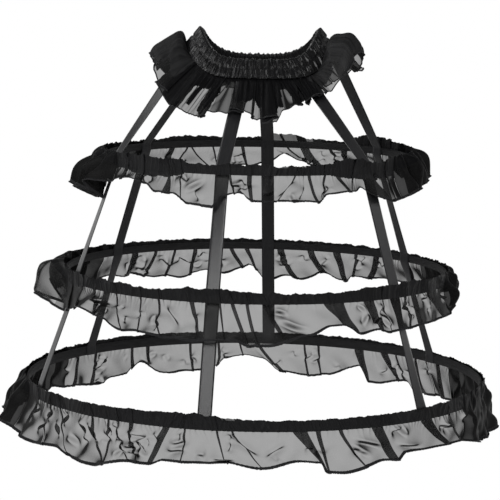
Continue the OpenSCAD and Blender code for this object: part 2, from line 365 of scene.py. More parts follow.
FOLD_EASE = 0.5        # how far a fold's edge is rounded
FINE_STEP = 1.25       # spacing of the points along the cloth at the front
COARSE_STEP = 2.1      # and elsewhere
FRONT = 62             # turn, either way, up to which the fine spacing is kept
ROW_STEP = 1.4         # spacing of the points down the cloth
HEM_ROLL = 0.85        # radius of the rolled hem
HEM_TURNS = (60, 130, 200, 270, 330)    # places round that roll, in degrees
FIN_W = 27.0           # spacing of the deep folds at the sides
FIN_COLUMNS = 32       # columns of points in one of them
WHOLE_TURN = 360 * np.array([1, 1, 0, 1, 0, 0, 0, 0])    # what a turn adds to the values of a column
TUCK_W = (2.2, 4.2)    # half the width of cloth in a crease's tuck, from and to
TUCK_LAP = 0.65        # share of a tuck's depth that the cloth is drawn in by
TUCK_LIFT = 0.7        # space between the layers of a tuck
TUCK_REACH = 4.5       # distance over which the cloth beside a tuck levels out
TUCK_FULL = 16.0       # length from which a crease has its full depth


def bunch(first, last, step, top, hem, seed):
    """Closely set pleats from one turn to another."""
    rng = np.random.default_rng(seed)
    found = []
    at = first
    while at < last:
        found.append((at, at + rng.uniform(-1.0, 1.0), top * rng.uniform(0.7, 1.15),
                      hem * rng.uniform(0.6, 1.2), 1 if rng.random() < 0.7 else -1))
        at += step * rng.uniform(0.85, 1.2)
    return found


def deep_folds(edges, r, seed):
    """Knots of deep folds that stand out from a ring between some edges, or evenly between two."""
    rng = np.random.default_rng(seed)
    if len(edges) == 2:
        count = max(2, round(math.radians(edges[1] - edges[0]) * r / FIN_W))
        step = (edges[1] - edges[0]) / count
        edges = edges[0] + step * np.arange(count + 1)
        edges[1:-1] += rng.uniform(-0.2, 0.2, count - 1) * step
    knots = []
    for a, b in zip(edges[:-1], edges[1:]):
        crest, chance = rng.uniform(0.92, 1.0), rng.uniform(-1, 1)
        for f in np.arange(FIN_COLUMNS) / FIN_COLUMNS:
            turn = a + (b - a) * f
            fin = crest * (0.5 - 0.5 * math.cos(2 * math.pi * f)) ** 0.6
            knots.append(((turn, turn, 0, turn, fin, 0, chance, 0), 1))
    return knots


def pleat_knots(pleat, bow, unit):
    """The knots of a pleat: a column, and the number of columns from there to the next knot."""
    top, hem, top_w, hem_w, side = pleat
    half = np.array([top_w, hem_w]) * unit / 2
    ease = np.minimum(unit * FOLD_EASE, half * 0.4)
    right, left = np.array([top, hem]) + half, np.array([top, hem]) - half
    across = max(2, round(max(top_w, hem_w) / COARSE_STEP))
    return [((*(right - ease), side, left[1], 0, bow, 0, 0), 1),
            ((*right, side * 0.5, left[1], 0, bow, 0, 1), 1),
            ((*(right - ease), 0, left[1], 0, bow, 0, 1), across),
            ((*(left + ease), 0, right[1], 0, bow, 0, 1), 1),
            ((*left, -side * 0.5, right[1], 0, bow, 0, 0), 1),
            ((*(left + ease), -side, right[1], 0, bow, 0, 0), 1)]


def pleated_columns(pleats, folds, top_r, hem_r, seed):
    """Columns of a pleated strip in order along the cloth.

    A pleat is (turn at the top, turn at the hem, width at the top, width at the hem, side that lies outside).
    folds are the ranges of turns that have deep folds instead. Each column has its turn at the top and at the
    hem, its layer from -1 to 1, the turn that it shows at the hem, how far it lies on a deep fold, its bow to
    one side, its fold's chance, and 1 where it is the inner layer of a pleat.
    """
    rng = np.random.default_rng(seed)
    pleats = sorted(pleats)
    bows = rng.uniform(-0.35, 0.35, len(pleats))
    unit = np.array([math.degrees(1 / top_r), math.degrees(1 / hem_r)])
    parts = [pleat_knots(*each, unit) for each in zip(pleats, bows)]
    knots = []
    for i, part in enumerate(parts):
        after = np.array(parts[(i + 1) % len(parts)][0][0]) + WHOLE_TURN * (i + 1 == len(parts))
        here = np.array(part[-1][0])
        knots += part[:-1]
        for edges in folds:
            first, last = edges[0], edges[-1]
            if here[0] < first and last < after[0]:
                knots.append((tuple(here), max(2, round((first - here[0]) / unit[0] / COARSE_STEP))))
                knots += deep_folds(edges, top_r, seed)
                here = np.array([last, last, 0, last, 0, 0, 0, 0])
        fine = abs(turn_from(0, here[0])) < FRONT
        span = max((after[:2] - here[:2]) / unit)
        knots.append((tuple(here), max(3, round(span / (FINE_STEP if fine else COARSE_STEP)))))
    ends = [np.array(k) for k, _ in knots[1:]] + [np.array(knots[0][0]) + WHOLE_TURN]
    columns = []
    for (start, count), end in zip(knots, ends):
        f = np.arange(count)[:, None] / count
        part = np.array(start) + (end - np.array(start)) * f
        part[:, 2] = start[2] + (end[2] - start[2]) * smooth(f[:, 0])
        columns.append(part)
    return np.concatenate(columns).T


def tucked(turn, drop, creases, r):
    """Turns, drops and heights of a cloth with small tucks along bowed lines.

    A crease is given by (turn, drop) at its ends, the depth of its tuck, its bow and half its width.
    """
    unit = math.radians(1) * r
    across, down, out = 0.0, 0.0, 0.0
    for turn_a, drop_a, turn_b, drop_b, depth, bow, width in creases:
        way = np.array([(turn_b - turn_a) * unit, drop_b - drop_a])
        length = np.linalg.norm(way)
        way = way / length
        x = turn_from(turn_a, turn) * unit
        y = drop - drop_a
        t = (x * way[0] + y * way[1]) / length
        away = x * way[1] - y * way[0] + bow * (1 - (2 * t - 1) ** 2)
        level = np.exp(-np.maximum(np.abs(away) - width, 0) / TUCK_REACH)
        ends = smooth(np.minimum(t * 2.5, (1 - t) * 2))
        fold = np.sin(math.pi / 2 * np.clip(away / width, -1, 1)) * level * ends * min(1, length / TUCK_FULL)
        across = across - way[1] * TUCK_LAP * abs(depth) * fold
        down = down + way[0] * TUCK_LAP * abs(depth) * fold
        out = out + (TUCK_LIFT * math.copysign(1, depth) + depth * (0.7 + 0.5 * width)) * fold
    return turn + across / unit, drop + down, out


def crumple(turn, drop, spread, count, height, seed):
    """Creases that lie close together round a place on a cloth."""
    rng = np.random.default_rng(seed)
    found = []
    for _ in range(count):
        t, d = turn + rng.uniform(-1, 1) * spread, drop + rng.uniform(-10, 10)
        lean, long = rng.uniform(-1.2, 1.2), rng.uniform(8, 20)
        found.append((t, d, t + math.sin(lean) * long / 5, d + math.cos(lean) * long,
                      height * rng.uniform(0.8, 1.15) * rng.choice((-1, 1)), rng.uniform(-4, 4)))
    return found


def chance_creases(count, length, seed):
    """Small creases where the cloth was once folded, anywhere on a ring."""
    rng = np.random.default_rng(seed)
    found = []
    for _ in range(count):
        turn, drop = rng.uniform(0, 360), rng.uniform(0.1, 0.8) * length
        found.append((turn, drop, turn + rng.uniform(-5, 5), drop + rng.uniform(-0.3, 0.4) * length,
                      rng.uniform(1.2, 2.3) * rng.choice((-1, 1)), rng.uniform(-2, 2)))
    return found


def dents(turn, drop, r, seed):
    """Shallow dents all over a cloth, about -1 to 1."""
    rng = np.random.default_rng(seed)
    total = 0.0
    for _ in range(DENT_SINES):
        waves = round(2 * math.pi * r / rng.uniform(28, 80)) * rng.choice((-1, 1))
        lean = drop * rng.uniform(0.05, 0.16)
        total = total + np.sin(np.radians(turn * waves) + lean + rng.uniform(0, 6.28))
    return total / 3.0


def rolled_hem(cloth):
    """Rows that roll the lower edge of a cloth outwards, to add below its last row."""
    along = np.roll(cloth[-1], -1, axis=0) - np.roll(cloth[-1], 1, axis=0)
    down = unit_length(cloth[-1] - cloth[-2])
    out = unit_length(np.cross(down, along))
    rows = []
    for angle in np.radians(HEM_TURNS):
        rows.append(cloth[-1] + HEM_ROLL * MM * (math.sin(angle) * down + (1 - math.cos(angle)) * out))
    return np.array(rows)


def cloth_uv(points):
    """Coordinates in metres along and down a cloth."""
    steps = np.linalg.norm(np.diff(points, axis=1, append=points[:, :1]), axis=2).mean(axis=0)
    along = np.cumsum(steps) - steps
    downs = np.linalg.norm(np.diff(points, axis=0, prepend=points[:1]), axis=2).mean(axis=1)
    return np.stack(np.meshgrid(along, np.cumsum(downs)), axis=-1)


# Ruffles on the hoops

LAYER_TOP = 0.5        # space between the layers of a pleat at the casing
LAYER_HEM = 1.5        # and at the hem
CLEAR = 1.0            # from the casing to the middle of a ruffle's layers
BEND = 8.0             # length over which a ruffle turns from its casing to its lean
HEAD_ROWS = np.array([[1, 0.75, 0.5, 0.25]]).T    # rows of points in the heading, by share of its height
CASING_ROWS = np.linspace(1, 0, 8)[:-1, None]     # and over the casing
FIN_FRONT = 0.55       # share of its lean that a deep fold has at the front and back
FIN_SIDE = 0.45        # and what it gains at a side
FIN_CHANCE = (9, 14)   # degrees by which one fold's lean differs, at its top and at its hem
HEADING_LEAST = 0.6    # height of the heading where it is lowest
SWAY = 2.0             # degrees by which a deep fold wanders at its hem
WAVE = 2.2             # height of the slow waves at the hem
DENT = 2.8             # and of the dents there
GATHER_STEP = 7        # spacing of the gathers at the casing
GATHER_H = 1.7         # and their height
LUMP = 2.4             # height of the dents on the deep folds
FLARE_TURNS = (0, 53, 76, 104, 127, 233, 256, 284, 307)
SIDE_LEAN = 8


@dataclass
class Tier:
    """One hoop's casing and ruffle. Dicts give values by turn, and ranges are ranges of turns."""

    name: str
    seed: int
    length: float       # about the length of the ruffle below its casing
    flare: dict         # its lean from straight down
    left: tuple         # lean of the deep folds at their top and at their hem, on the left
    right: tuple        # and on the right
    dense: dict         # share of a deep fold that is closed, from its top
    pleats: list        # as pleated_columns takes them
    folds: list         # ranges that have deep folds
    hem: dict           # length below the casing
    heading: dict       # height above the casing
    skirt: dict         # length below the casing over which the gathers are closed
    sheer: list         # ranges where the heading is half sheer, and a deep fold a thin flap
    creases: list       # (turn, drop) at both ends, and the depth of the tuck
    crumples: list      # as crumple takes them

    def __post_init__(self):
        low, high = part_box(self.name + "_casing")
        self.r = high[0] / MM
        self.z_top = high[2] / MM
        self.z_bottom = low[2] / MM
        self.rows = round(self.length / ROW_STEP)
        rng = np.random.default_rng(self.seed)
        creases = [(*c, rng.uniform(-2, 2)) for c in self.creases]
        creases += chance_creases(24, self.length, self.seed)
        for i, place in enumerate(self.crumples):
            creases += crumple(*place, self.seed + i)
        self.creases = [(*c, rng.uniform(*TUCK_W)) for c in creases]

    def ripple(self, turn, waves, number):
        """A ripple round the tier's ring, with the tier's own seed."""
        return ripple(turn, waves, self.seed + number)

    def hanging(self, turn, drop, out):
        """Radius and height at a drop below the casing along the ruffle, and a distance out from it."""
        lean = np.radians(round_ring(turn, self.flare))
        bent = np.clip(drop, 0, BEND) / BEND * lean
        straight = np.maximum(drop - BEND, 0)
        arc = BEND / lean
        r = self.r + CLEAR + arc * (1 - np.cos(bent)) + straight * np.sin(lean) + out * np.cos(bent)
        z = self.z_bottom - arc * np.sin(bent) - straight * np.cos(lean) + out * np.sin(bent)
        return r, np.where(drop > 0, z, self.z_bottom - drop)

    def crest(self, turn, chance, start_z, way, whole):
        """Radius and height on the crest of a deep fold, at a way down from the top of the heading."""
        # From 0 at the front and back to 1 at a side
        side = smooth((np.abs(np.sin(np.radians(turn))) - 0.80) / 0.17)
        weight = FIN_FRONT + FIN_SIDE * side
        first, last = [np.radians((by_side(turn, *leans) + spread * chance) * weight)
                       for leans, spread in zip(zip(self.left, self.right), FIN_CHANCE)]
        rate = (last - first) / whole
        at = first + rate * way
        r = self.r + CLEAR + (np.cos(first) - np.cos(at)) / rate
        return r, start_z - (np.sin(at) - np.sin(first)) / rate


def ruffle(tier):
    """The ruffle of a tier: heading, stretch over the casing, and the pleats below it."""
    hem_r = tier.r + tier.length * math.sin(math.radians(tier.flare[0]))
    columns = pleated_columns(tier.pleats, tier.folds, tier.r, hem_r, tier.seed)
    top, hem, layer, _, fin, bow, chance, inner = columns
    casing_h = tier.z_top - tier.z_bottom
    heading = round_ring(top, tier.heading) + 0.9 * tier.ripple(top, 50, 11)
    heading = heading + 0.6 * tier.ripple(top, 130, 0) + 0.35 * tier.ripple(top, 420, 1)
    heading = np.maximum(heading, HEADING_LEAST)
    length = round_ring(hem, tier.hem) + 0.3 * tier.ripple(top, 900, 2)
    below = np.linspace(0, 1, tier.rows)[:, None] * length
    drops = np.concatenate([-casing_h - HEAD_ROWS * heading, -casing_h * CASING_ROWS + 0 * top, below])
    share = np.clip(drops / length, 0, 1)
    above = np.clip(-drops / (casing_h + 4), 0, 1.5)
    headed = np.clip(-drops - casing_h, 0, None)
    sway = SWAY * tier.ripple(top, 9, 7) * fin * share
    turn = top + (hem - top) * (share ** 1.15 - 0.3 * above) + bow * np.sin(math.pi * share) + sway
    gap = LAYER_TOP + (LAYER_HEM - LAYER_TOP) * share + 0.10 * headed
    wave = WAVE * (1 + tier.ripple(turn, 17, 3)) + DENT * dents(turn, drops, tier.r, tier.seed + 8)
    drift = turn + 0.10 * drops * tier.ripple(top, 25, 9)
    held = np.exp(-np.clip(drops, 0, None) / np.clip(5 + 3 * tier.ripple(top, 80, 12), 2, 9))
    gather = np.maximum(0, tier.ripple(drift, 2 * math.pi * tier.r / GATHER_STEP, 5)) * GATHER_H * held
    puff = headed * (0.15 + 0.2 * tier.ripple(turn, 60, 6))
    outs = layer * gap + wave * share ** 1.3 + gather + puff
    tuck_turn, tuck_drop, tuck_out = tucked(turn, drops, tier.creases, tier.r)
    # The tucks fade out towards the casing, and partly towards the hem
    free = smooth(share * 10) * smooth((1 - share) * 10 + 0.35)
    turn = turn + (tuck_turn - turn) * free
    hung = drops + (tuck_drop - drops) * free
    r, z = tier.hanging(turn, hung, outs + tuck_out * free)
    way = drops + casing_h + heading
    crest_r, crest_z = tier.crest(turn, chance, tier.z_top + heading, way, casing_h + heading + length)
    lumps = LUMP * dents(turn, 1.2 * drops, tier.r, tier.seed + 13) * smooth(way / 12)
    crest_r, crest_z = crest_r + lumps, crest_z + 0.6 * lumps
    points = polar(turn, r + (crest_r - r) * fin, z + (crest_z - z) * fin)
    points = np.concatenate([points, rolled_hem(points)])
    node = f"{tier.name}_ruffle"
    cloths, which = ruffle_cloths(tier, top, inner, length, len(points) - 1)
    return mesh_piece(f"{node}_cloth", node, points, cloths, which)


def ruffle_cloths(tier, top, inner, length, faces):
    """The cloths of a ruffle, and for each face the place of its own in their list."""
    cloths = [ORGANZA, HEM, GATHERED, PRESSED, FLAP, DOUBLE, BUNCHED, SHADED_GATHERS]
    place = cloths.index
    rows = np.arange(faces)[:, None]
    head, sewn = len(HEAD_ROWS), len(HEAD_ROWS) + len(CASING_ROWS)
    in_folds = within(top, tier.folds)
    thin = within(top, tier.sheer)
    flap = thin & in_folds
    dense = round_ring(top, tier.dense) * (1 + 0.06 * tier.ripple(top, 30, 14))
    skirt = round_ring(top, tier.skirt) * (1 + 0.2 * tier.ripple(top, 50, 15))
    closed = in_folds & (rows - sewn < dense * tier.rows)
    closed = closed | ((rows - sewn) * length / tier.rows < skirt - 0.5)
    which = np.where(inner > 0.5, place(PRESSED), np.where(flap, place(FLAP), place(ORGANZA)))
    which = np.where(closed & ~flap, place(GATHERED), which)
    upper = np.where(thin & (rows < head), place(DOUBLE), place(GATHERED))
    which = np.where(rows < sewn, upper, which)
    # Deep folds above the seam take the darker organza, whose colours are painted shade.
    folded = np.where(rows >= sewn, place(BUNCHED), place(SHADED_GATHERS))
    which = np.where((which == place(GATHERED)) & in_folds, folded, which)
    return cloths, np.where(rows >= faces - len(HEM_TURNS) - 2, place(HEM), which)


def even_flare(lean):
    """Lean of a ruffle at some turns: the same at the front and back, and steeper behind the side folds."""
    return {t: SIDE_LEAN if 60 < t % 180 < 120 else lean for t in FLARE_TURNS}


LOWER = Tier(
    "lower", seed=31, length=49, left=(44, 4), right=(15, 4),
    flare={0: 7, 53: 7, 76: 8, 127: 7, 233: 7, 258: 14, 272: 26, 286: 24, 298: 18, 308: 9, 320: 7},
    dense={60: 1.2, 117: 1.2, 239: 1.2, 286: 1.2, 288: 0.5},
    pleats=[(-66, -68, 4, 3, -1), (-58, -57, 3.5, 3, 1), (-53, -48, 3.5, 3, 1), (-41, -36, 5, 4, 1),
            (-36, -35.5, 3, 2, -1), (-33, -30, 3, 2.5, 1), (-29.5, -27.5, 7, 4, 1),
            (-20.5, -24, 9, 5, -1), (-16, -16.5, 2.5, 1.2, -1), (-8.5, -6, 3, 1.2, 1), (-5, 2, 3, 2, 1),
            (10.4, 15.9, 18, 10, 1), (14.6, 17, 6, 2, 1), (20, 26, 5, 1.5, 1), (29.5, 34, 16, 12, 1),
            (44.5, 51, 21, 8, 1), (53.5, 57.5, 3.5, 3, 1), (122, 121, 9, 9, -1), (127, 124.5, 3, 3, 1),
            (131, 129, 5, 5, -1), (138, 135.5, 3, 3, -1), (142, 137.5, 13, 4, -1),
            (150, 148.5, 15, 14, -1), (162, 161.5, 4, 3, 1), (166, 165, 3, 3, -1), (179, 172, 5, 9, 1),
            (184, 183, 3, 2, 1), (190, 190, 4, 4, -1), (198, 197, 4, 3, 1), (210.5, 210, 6, 5, 1),
            (215.5, 214.5, 5, 4, -1), (228, 228, 5, 4, 1), (235, 236, 6, 5, 1)],
    folds=[(60, 117), (239, 287)],
    hem={-90: 52, -78: 50, -62: 54, -51: 48, -46: 58, -40: 60, -30: 48, -24: 47, -21: 41, -6: 39, 2: 45,
         10: 36, 15.2: 38, 16.6: 51, 21: 53, 31: 42, 35: 44, 37: 36, 48: 36, 57: 37, 66: 48, 76: 54,
         90: 50, 123: 50, 132: 54, 135: 38, 145: 49, 147.3: 48, 150: 26, 160: 45, 167: 49, 172: 44,
         178: 25, 183: 20, 188: 24, 191: 39, 205: 45, 213: 22, 216: 41, 228: 49, 236: 43},
    heading={-90: 3, -60: 4.5, -45: 4, -35: 4.5, -24: 6, -14: 8, -9: 6, -3: 3, 5: 1.5, 40: 3, 60: 6,
             84: 4, 100: 1.5, 130: 1.5, 150: 3, 180: 3, 215: 5, 240: 4},
    skirt={0: 0, 180: 0},
    sheer=[(-6, -3)],
    creases=[(-5, 5, 2, 32, 2.4), (2, 34, 8, 14, 2.4), (-19.7, 21, -14.5, 12, 2.0),
             (-20.8, 30, -14.5, 25, 2.0), (-17.2, 4, -16.5, 15, 1.8), (-5.9, 2, -5.2, 12, 2.0),
             (-5.2, 12, -6.3, 27, 2.0), (-10, 35, -3.5, 37, 1.9), (-30, 10, -25.2, 13, 2.0),
             (-25.2, 13, -28, 21, 1.9), (-33.4, 5, -32.5, 25, 2.0), (-32.5, 25, -30.3, 38, 2.0),
             (-30.3, 8, -28.5, 26, 2.0), (-31.8, 31, -25.2, 29, 1.9), (-31, 37, -26, 38, 1.8),
             (-29, 26, -26.8, 20, 2.0), (-26.8, 20, -25.4, 36, 2.0), (-24, 8, -22, 20, 1.9),
             (-36, 6, -34.5, 22, 2.0), (-56.7, 4, -57.5, 22, 1.9), (-57.5, 22, -61, 42, 2.0),
             (-54, 16, -51, 38, 2.0), (-49.6, 2, -51, 22, 2.0), (-46, 10, -42, 26, 1.9),
             (-43, 6, -37.3, 34, 2.2), (-44, 26, -41, 32, 1.8), (-63, 8, -66, 24, 1.9),
             (22, 12, 32, 28, 2.3), (22, 18, 28, 36, 2.0), (36, 2, 38, 18, 2.1), (34, 24, 43, 30, 1.8),
             (33, 8, 37, 5, 2.0), (49, 10, 53, 18, 2.1), (50, 22, 55, 12, 2.0)],
    crumples=[(-29, 24, 4, 5, 1.9), (196, 16, 10, 5, 1.8), (226, 18, 8, 4, 1.8), (150, 16, 14, 5, 1.8),
              (166, 16, 8, 4, 1.8)])

MIDDLE = Tier(
    "middle", seed=32, length=47, left=(98, -30), right=(55, -25), flare=even_flare(25),
    dense={72: 1.2, 117: 1.2, 236: 1.2, 256: 1.0, 259: 0.1, 287: 0.1},
    pleats=[(-68, -67, 5, 6, 1), (-60, -60, 6, 6, 1), (-53, -50, 9, 7, 1), (-43, -38, 3.5, 3, 1),
            (-34, -32, 3, 3, 1), (-28, -25.5, 4, 2, 1), (-18, -14.5, 6, 3, -1), (-10, -8, 3, 1.2, 1),
            (-6.5, -2, 5, 5, 1), (-2.5, 0.5, 4, 4, 1), (2.5, 8, 7, 4, 1), (21.9, 26.2, 27, 17, 1),
            (33, 35, 15, 4, 1), (38, 38, 2.5, 2, -1), (47, 46, 3, 2, 1), (60.5, 67, 22, 24, 1),
            (124, 123, 5, 4, -1), (138, 143, 11, 11, 1), (146, 149, 5, 4, -1), (153, 152, 12, 6, -1),
            (162, 159, 10, 9, -1), (172, 168, 10, 9, -1), (183, 180, 7, 5, -1), (188, 184, 6, 4, -1),
            (200, 200, 6, 4, 1), (207, 208, 4, 3, 1), (214, 216, 5, 4, 1), (222, 223, 12, 9, 1)],
    folds=[(72, 117), (236, 244, 251, 258, 287)],
    hem={-90: 56, -72: 40, -62: 32, -56: 28, -46: 34, -38: 45, -33: 44, -27: 47, -14: 49, -5: 47, -1: 54,
         3: 54, 14: 40, 20: 30, 24.5: 28, 28.2: 41, 33: 38, 38: 43, 52: 39, 62: 37, 70: 36, 78: 29,
         104: 30, 117: 34, 134: 40, 149: 39, 152: 50, 159: 38, 166: 53, 171: 47, 177: 53, 182: 28,
         188: 43, 195: 39, 202: 47, 211: 46, 224: 35},
    heading={-90: 8, -60: 5, -52: 4, -48: 6, -43: 4, -40: 6, -32: 2, -25: 4, -17: 8, -9: 8, -3: 6, 3: 4,
             20: 3, 26: 4, 33: 7, 40: 8, 52: 9, 60: 7, 90: 4, 110: 2, 126: 2, 150: 3, 180: 4, 215: 5,
             240: 7},
    skirt={-90: 0, -76: 0, -73: 24, -70: 18, -66: 3, -60: 0, 0: 0, 180: 0},
    sheer=[(-101, -76)],
    creases=[(4, 8, 9, 14, 2.3), (5, 20, 15, 34, 2.3), (-55, 16, -42, 14, 2.5), (-26, 6, -20, 34, 2.1),
             (-28, 20, -25, 40, 2.1), (36, 20, 33, 36, 2.1), (36, 20, 39, 38, 2.1),
             (-16, 12, -15, 34, 2.1), (206, 14, 200, 26, 2.3), (212, 10, 207, 30, 2.1),
             (29, 2, 31.5, 16, 2.0), (31.5, 14, 29.5, 32, 2.0)],
    crumples=[(-40, 18, 8, 3, 1.9), (48, 18, 10, 4, 1.9), (206, 14, 14, 9, 1.9), (160, 14, 12, 5, 1.9),
              (140, 12, 8, 6, 1.9)])

UPPER = Tier(
    "upper", seed=33, length=39, left=(66, 30), right=(78, -8), flare=even_flare(24),
    dense={0: 1.2, 180: 1.2},
    pleats=[(-55, -56, 9, 8, 1), (-46, -46, 9, 7, 1), (-33, -32, 2, 15, 1), (-28, -26, 3, 2, 1),
            (-10, -8, 4, 1.5, 1), (-3, -2, 6, 4, 1), (13, 6, 2.5, 1.2, -1), (18, 20, 4, 3, 1),
            (24, 21.5, 4, 1.2, -1), (29, 32, 6, 3, 1), (36, 33, 4, 2, -1), (42, 48, 22, 14, 1),
            (53, 53, 5, 4, -1), (118, 117, 8, 6, 1), (125, 126, 6, 5, -1), (133, 134, 9, 8, 1),
            (143.5, 144, 11, 9, 1), (150, 148, 5, 3, -1), (161, 156, 13, 13, -1),
            (168, 160.5, 3.5, 3, -1), (186, 184, 5, 3, -1), (198, 195.5, 3, 1.5, -1),
            (207, 198, 3, 2.5, -1), (209, 213, 3, 2, 1), (216, 217, 9, 8, 1)],
    folds=[(58, 112), (227, 298)],
    hem={-90: 52, -70: 46, -60: 18, -50: 14, -43: 17, -36: 28, -29: 29, -23: 40, -15: 43, -12: 27, -6: 23,
         -2: 34, 16: 34, 20: 36, 24: 26, 34: 24, 38: 17, 46: 36, 52: 40, 58: 38, 66: 36, 78: 32, 104: 30,
         112: 30, 120: 22, 130: 20, 141: 17, 148: 25, 156: 29, 164: 24, 170: 12, 176: 24, 184: 32,
         204: 33, 213: 26, 222: 18, 235: 20},
    heading={-90: 7, -60: 8, -45: 9, -36: 7, -28: 8, -24: 3, -14: 2.5, -9: 5, -4: 3, 2: 4, 6: 2, 20: 3,
             26: 5, 30: 9, 38: 10, 44: 5, 50: 3, 56: 8, 64: 9, 90: 9, 112: 10, 124: 14, 134: 15, 139: 10,
             145: 3, 158: 4, 164: 9, 172: 10, 178: 5, 190: 3, 200: 6, 213: 7, 222: 4, 235: 4},
    skirt={-56: 2, -48: 7, -36: 7, -31: 5, -26: 0, 24: 0, 34: 5, 44: 8, 54: 8, 90: 0, 180: 0},
    sheer=[(156.5, 175), (6, 9), (14, 17)],
    creases=[(13, 4, 6, 30, 2.1), (-26, 24, -18, 6, 2.3), (-22, 20, -19, 36, 2.1), (-10, 14, -5, 16, 2.3),
             (-5, 14, -6, 7, 2.1), (10, 24, 12, 36, 2.1), (13, 34, 16, 12, 1.8), (22, 26, 25, 16, 2.3)],
    crumples=[(-5, 12, 4, 3, 1.9), (204, 10, 14, 5, 1.9), (150, 8, 10, 4, 1.9)])

TIERS = (UPPER, MIDDLE, LOWER)


# Casings of the boning

CASING_HALF_T = 2.2
CASING_COLUMNS = 540
CASING_PUCKER = 0.28   # depth of the puckers at the seam
CASING_SLACK = 0.22    # and of the slower waves all over


def casing(tier):
    """Twill tape folded over the boning, puckered along its seam."""
    turn = np.linspace(0, 360, CASING_COLUMNS, endpoint=False)
    middle = tier.r - CASING_HALF_T
    seam, top = tier.z_bottom, tier.z_top
    # Section, from the seam's outer lip over the top to its inner lip: (out from the middle, height)
    wall = np.linspace(seam + 4.0, top - 1.6, 7)
    outer = [(0.9, seam), (1.0, seam + 1.6)] + [(CASING_HALF_T, z) for z in wall]
    outer += [(1.5, top - 0.5), (0.6, top)]
    section = np.array(outer + [(-x, z) for x, z in outer[::-1]])
    pucker = np.abs(ripple(turn, 210, tier.seed + 40)) * CASING_PUCKER
    slack = np.abs(ripple(turn, 70, tier.seed + 41)) * CASING_SLACK
    height = np.clip((section[:, 1] - seam) / (top - seam), 0, 1)
    drawn = np.exp(-height * 4)[:, None] * pucker[None] + slack[None] * 0.6
    inward = np.sign(section[:, 0])[:, None] * drawn
    depth = np.minimum(np.abs(inward), 0.4 * np.abs(section[:, :1])) * np.sign(inward)
    points = polar(turn[None], middle + section[:, :1] - depth, section[:, 1:] + 0 * turn[None])
    node = f"{tier.name}_casing"
    return mesh_piece(f"{node}_cloth", node, points, [TWILL])


# Waist

def band_profile(turn, up, out):
    """Radius and height of a point on the waistband's wall."""
    a = np.radians(turn)
    curve = (BAND_FRONT_CURVE + BAND_BACK_CURVE) / 2 + (BAND_FRONT_CURVE - BAND_BACK_CURVE) / 2 * np.cos(a)
    rise = -BAND_H / 2 + BAND_SIDE_LIFT * np.abs(np.sin(a)) ** curve
    r = BAND_SEAM_R + up * BAND_UP[0] + out * BAND_OUT[0] + 0 * rise
    return r, rise + up * BAND_UP[1] + out * BAND_OUT[1]


def waistband():
    """Satin folded over the elastic and gathered along it."""
    turn = np.linspace(0, 360, BAND_COLUMNS, endpoint=False)[None]
    shoulder = BAND_SLANT - BAND_ROUND
    wall = np.linspace(0, shoulder, 16)
    around = np.radians(np.linspace(0, 180, 7))
    section = [(u, BAND_HALF_T) for u in wall]
    section += [(shoulder + BAND_ROUND * math.sin(a), BAND_HALF_T * math.cos(a)) for a in around[1:-1]]
    section += [(u, -BAND_HALF_T) for u in wall[::-1]]
    up, out = np.array(section).T[:, :, None]
    share = up / BAND_SLANT
    # The gathers differ below and above a row of stitches at half the height
    upper = smooth((share - 0.46) / 0.08)
    ridges = []
    for seed in BAND_SEEDS:
        drift = 1.5 * ripple(turn, 30, seed) * np.sin(share * 5) + 1.2 * ripple(turn, 60, seed + 1) * share
        phase = BAND_GATHERS * (turn + drift) / 2 + 110 * ripple(turn, 45, seed + 2)
        depth = np.clip(1.9 + 1.2 * ripple(turn, 60, seed + 3), 0.4, 3.4)
        ridges.append(np.abs(np.sin(np.radians(phase))) ** 0.7 * depth)
    ridge = ridges[0] + (ridges[1] - ridges[0]) * upper
    # Stitches hold them down in that row and along the seam
    line = 1 - 0.7 * np.exp(-((share - 0.5) / 0.05) ** 2) - 0.6 * np.exp(-((share - 0.04) / 0.05) ** 2)
    swell = ridge * line * np.sign(out)
    rise = (ridge - 0.6) * smooth((share - 0.9) / 0.1) * 0.3
    r, z = band_profile(turn, up + rise, out + swell)
    points = polar(turn, r, z)
    inside = np.arange(len(section) - 1)[:, None] >= len(wall) + 3
    return mesh_piece("satin_waistband", "waistband", points, [SATIN, SATIN_BACK], inside)


FRILL_ROWS = round(66 / ROW_STEP)
FRILL_LEAN = 47.8      # direction outside the puffs, from straight down
FRILL_SEED = 60
FRILL_FOOT = (-0.9, 0.8)    # where it leaves the waistband: up from the seam, and out
FRILL_EDGE = (4.5, 0.8)     # and where its edge is caught
FRILL_FLARE = 45.0     # about how far the hem lies outside the seam
FRILL_PLEATS = (
    [(-62, -62, 14, 18, 1), (-46, -46, 2.5, 2.5, -1), (-30.5, -30.5, 13, 18, 1), (-11, -11, 12, 17, -1),
     (-3.4, -3.4, 4, 3, 1), (5.2, 5.2, 13, 18, 1), (23, 22.5, 9, 12, 1), (29.5, 29.5, 10, 13, -1),
     (36.5, 36, 9, 12, 1), (43, 43, 5, 5, -1)]
    + bunch(100, 232, 14, 4, 5, 8))
FRILL_FOLDS = [(46, 76, 84), (236, 252, 297)]
FRILL_HEM = {-66: 54, -60: 58, -50: 66, -44: 70, -36: 71, -31: 70, -27: 60, -18: 59, -12: 60, -7: 59,
             -3: 66, 0: 68, 3: 70, 7: 76, 12: 75, 14: 58, 18: 48, 22: 41, 27: 38, 30: 45, 31.5: 49,
             33: 36, 40: 34, 47: 38, 54: 48, 62: 52, 70: 44, 76: 42, 95: 44, 106: 40, 120: 42, 180: 40,
             232: 44, 244: 54, 270: 56}
